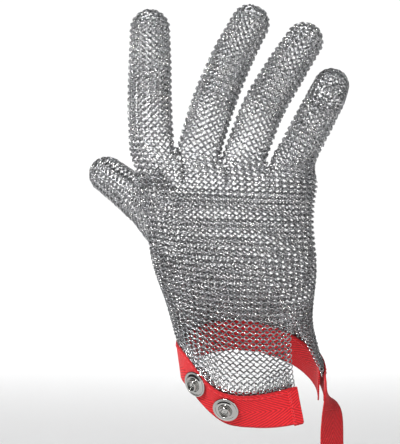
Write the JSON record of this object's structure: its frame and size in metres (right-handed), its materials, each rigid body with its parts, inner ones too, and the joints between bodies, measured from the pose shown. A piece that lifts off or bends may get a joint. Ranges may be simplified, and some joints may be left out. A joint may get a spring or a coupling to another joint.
{
  "type": "chain mail glove",
  "caption": "Right-hand safety glove of welded steel ring mesh with five fingers, a woven wrist band and a snap strap.",
  "frame": {"origin": "centre of the wrist opening, in the plane of the hem", "axes": "+Z from the wrist to the fingertips, -Y out of the back of the hand, +X to the little finger side"},
  "size_m": [0.1434, 0.0778, 0.2944],
  "materials": {
    "ring_mesh": "satin",
    "red_tape": "woven",
    "snap_metal": "polished",
    "spring_wire": "satin"
  },
  "bodies": {
    "hand": {"hand_mesh": "ring_mesh", "band_outer": "red_tape", "band_inner": "red_tape", "band_end_fold": "red_tape", "back_stud": "snap_metal", "back_stud_post": "snap_metal", "side_stud": "snap_metal", "side_stud_post": "snap_metal"},
    "index_base": {"index_base": "ring_mesh"},
    "index_middle": {"index_middle": "ring_mesh"},
    "index_tip": {"index_tip": "ring_mesh"},
    "middle_base": {"middle_base": "ring_mesh"},
    "middle_middle": {"middle_middle": "ring_mesh"},
    "middle_tip": {"middle_tip": "ring_mesh"},
    "ring_base": {"ring_base": "ring_mesh"},
    "ring_middle": {"ring_middle": "ring_mesh"},
    "ring_tip": {"ring_tip": "ring_mesh"},
    "little_base": {"little_base": "ring_mesh"},
    "little_middle": {"little_middle": "ring_mesh"},
    "little_tip": {"little_tip": "ring_mesh"},
    "thumb_base": {"thumb_base": "ring_mesh"},
    "thumb_tip": {"thumb_tip": "ring_mesh"},
    "strap_root": {"strap_root": "red_tape"},
    "strap_upper": {"strap_upper": "red_tape"},
    "strap_lower": {"strap_lower": "red_tape"},
    "strap_end": {"strap_end": "red_tape", "strap_end_fold": "red_tape", "snap_cap": "snap_metal", "snap_socket": "snap_metal", "socket_spring": "spring_wire"}
  },
  "joints": [
    {"name": "index_knuckle", "type": "hinge", "parent": "hand", "child": "index_base", "pos_m": [-0.0535, 0, 0.112], "axis": [-0.9988, 0, -0.0499], "range_deg": [-8, 45]},
    {"name": "index_bend", "type": "hinge", "parent": "index_base", "child": "index_middle", "pos_m": [-0.0548, -0.001, 0.138], "axis": [-0.9999, 0, 0.0146], "range_deg": [-5, 45]},
    {"name": "index_tip_bend", "type": "hinge", "parent": "index_middle", "child": "index_tip", "pos_m": [-0.0545, -0.001, 0.1585], "axis": [-1, 0, 0], "range_deg": [-5, 25]},
    {"name": "middle_knuckle", "type": "hinge", "parent": "hand", "child": "middle_base", "pos_m": [-0.0281, 0, 0.112], "axis": [-0.9577, 0, 0.2877], "range_deg": [-8, 60]},
    {"name": "middle_bend", "type": "hinge", "parent": "middle_base", "child": "middle_middle", "pos_m": [-0.0199, -0.001, 0.1393], "axis": [-0.9211, 0, 0.3893], "range_deg": [-5, 65]},
    {"name": "middle_tip_bend", "type": "hinge", "parent": "middle_middle", "child": "middle_tip", "pos_m": [-0.0098, -0.001, 0.1632], "axis": [-0.8818, 0, 0.4717], "range_deg": [-5, 35]},
    {"name": "ring_knuckle", "type": "hinge", "parent": "hand", "child": "ring_base", "pos_m": [-0.0032, 0, 0.1096], "axis": [-0.9378, 0, 0.3471], "range_deg": [-8, 60]},
    {"name": "ring_bend", "type": "hinge", "parent": "ring_base", "child": "ring_middle", "pos_m": [0.0062, -0.001, 0.135], "axis": [-0.8567, 0, 0.5158], "range_deg": [-5, 65]},
    {"name": "ring_tip_bend", "type": "hinge", "parent": "ring_middle", "child": "ring_tip", "pos_m": [0.018, -0.001, 0.1546], "axis": [-0.8398, 0, 0.5428], "range_deg": [-5, 35]},
    {"name": "little_knuckle", "type": "hinge", "parent": "hand", "child": "little_base", "pos_m": [0.0232, 0, 0.1069], "axis": [-0.8902, 0, 0.4556], "range_deg": [-8, 60]},
    {"name": "little_bend", "type": "hinge", "parent": "little_base", "child": "little_middle", "pos_m": [0.034, 0, 0.128], "axis": [-0.8805, 0, 0.4741], "range_deg": [-5, 50]},
    {"name": "little_tip_bend", "type": "hinge", "parent": "little_middle", "child": "little_tip", "pos_m": [0.041, 0.003, 0.141], "axis": [-0.908, 0, 0.4191], "range_deg": [-5, 30]},
    {"name": "thumb_knuckle", "type": "hinge", "parent": "hand", "child": "thumb_base", "pos_m": [-0.058, 0.022, 0.084], "axis": [-0.0328, 0.5998, -0.7994], "range_deg": [-3, 20]},
    {"name": "thumb_bend", "type": "hinge", "parent": "thumb_base", "child": "thumb_tip", "pos_m": [-0.0689, 0.0322, 0.0921], "axis": [-0.0332, 0.6003, -0.799], "range_deg": [-5, 30]},
    {"name": "strap_lift", "type": "hinge", "parent": "hand", "child": "strap_root", "pos_m": [0.0438, 0.0015, -0.013], "axis": [-0.7504, 0.3762, 0.5434], "range_deg": [-20, 63]},
    {"name": "strap_curl_1", "type": "hinge", "parent": "strap_root", "child": "strap_upper", "pos_m": [0.0438, 0.0015, -0.033], "axis": [0.6494, 0.7604, 0], "range_deg": [-45, 32]},
    {"name": "strap_curl_2", "type": "hinge", "parent": "strap_upper", "child": "strap_lower", "pos_m": [0.0438, 0.0015, -0.053], "axis": [0.6494, 0.7604, 0], "range_deg": [-45, 32]},
    {"name": "strap_curl_3", "type": "hinge", "parent": "strap_lower", "child": "strap_end", "pos_m": [0.0438, 0.0015, -0.073], "axis": [0.6494, 0.7604, 0], "range_deg": [-45, 32]}
  ]
}
